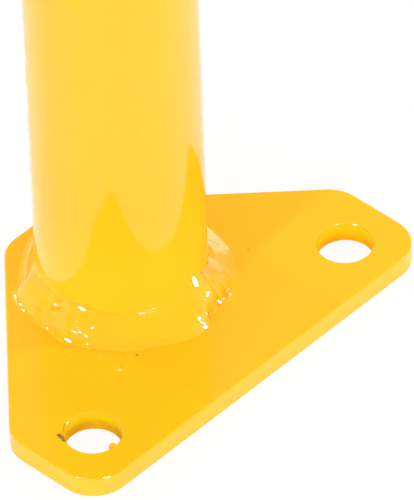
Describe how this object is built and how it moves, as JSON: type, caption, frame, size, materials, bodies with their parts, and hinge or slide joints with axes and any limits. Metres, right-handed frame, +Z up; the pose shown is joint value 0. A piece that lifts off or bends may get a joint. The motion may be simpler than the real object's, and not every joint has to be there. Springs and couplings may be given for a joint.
{
  "type": "railing post foot",
  "caption": "Foot of a steel safety railing: a round tube post welded upright to a corner-shaped base plate with anchor holes, powder-coated yellow.",
  "frame": {"origin": "on the post's axis at the underside of the base plate", "axes": "+Z up along the post, X along the plate's long front edge, which faces -Y; the short back edge faces +Y"},
  "size_m": [0.1352, 0.0872, 0.25],
  "materials": {
    "yellow_powder_coat": "gloss"
  },
  "bodies": {
    "root": {"base_plate": "yellow_powder_coat", "post_tube": "yellow_powder_coat", "weld_back_right": "yellow_powder_coat", "weld_back_left": "yellow_powder_coat", "weld_front_left": "yellow_powder_coat", "weld_front_right": "yellow_powder_coat"}
  },
  "joints": []
}
